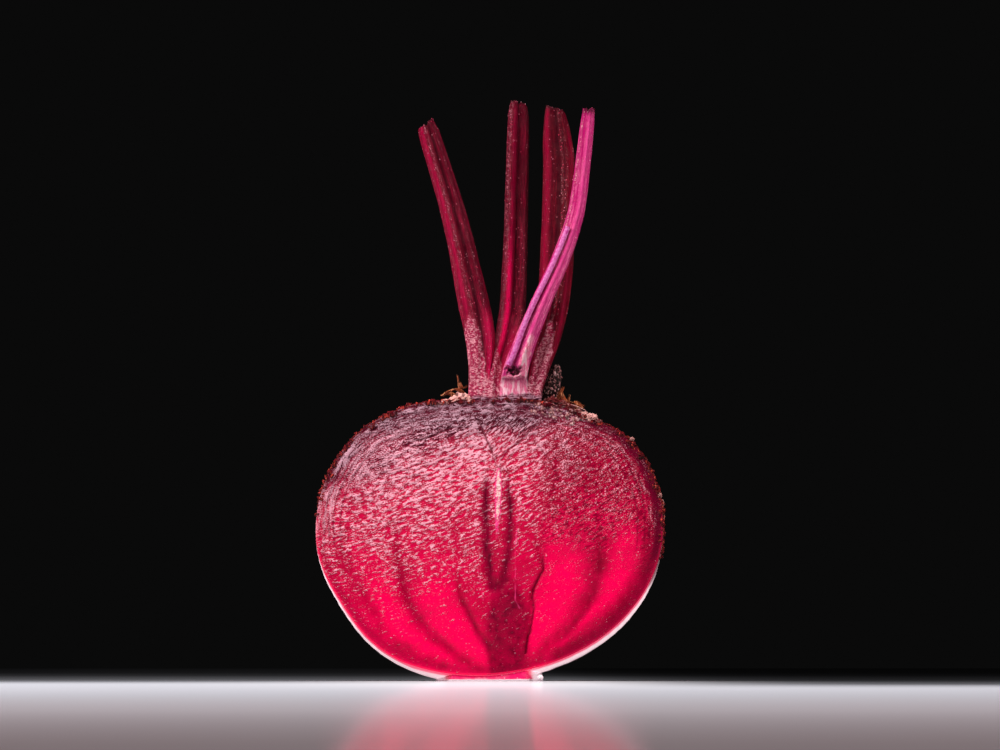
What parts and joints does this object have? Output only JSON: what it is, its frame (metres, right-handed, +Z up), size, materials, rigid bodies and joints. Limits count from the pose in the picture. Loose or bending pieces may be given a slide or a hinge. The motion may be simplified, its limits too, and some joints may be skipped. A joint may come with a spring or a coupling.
{
  "type": "halved beetroot",
  "caption": "Beetroot cut lengthwise, with trimmed leaf stalks, standing on its trimmed root end: a still-life or kitchen prop that rests on any flat surface.",
  "frame": {"origin": "centre of the flat foot where the taproot was trimmed off", "axes": "+Z up through the crown and stalks, -Y the way the cut face looks, +X to the right seen from the cut face"},
  "size_m": [0.075, 0.0406, 0.1262],
  "materials": {
    "beet_root": "satin",
    "crimson_stalk": "satin",
    "pink_stalk": "satin",
    "withered_bark": "matte",
    "dry_scale": "matte"
  },
  "bodies": {
    "root": {"root_half": "beet_root", "petiole_left": "crimson_stalk", "petiole_middle": "crimson_stalk", "petiole_right_back": "crimson_stalk", "petiole_right_front": "pink_stalk", "withered_stub": "withered_bark", "dry_scales_left": "dry_scale", "dry_scales_right": "dry_scale"}
  },
  "joints": []
}
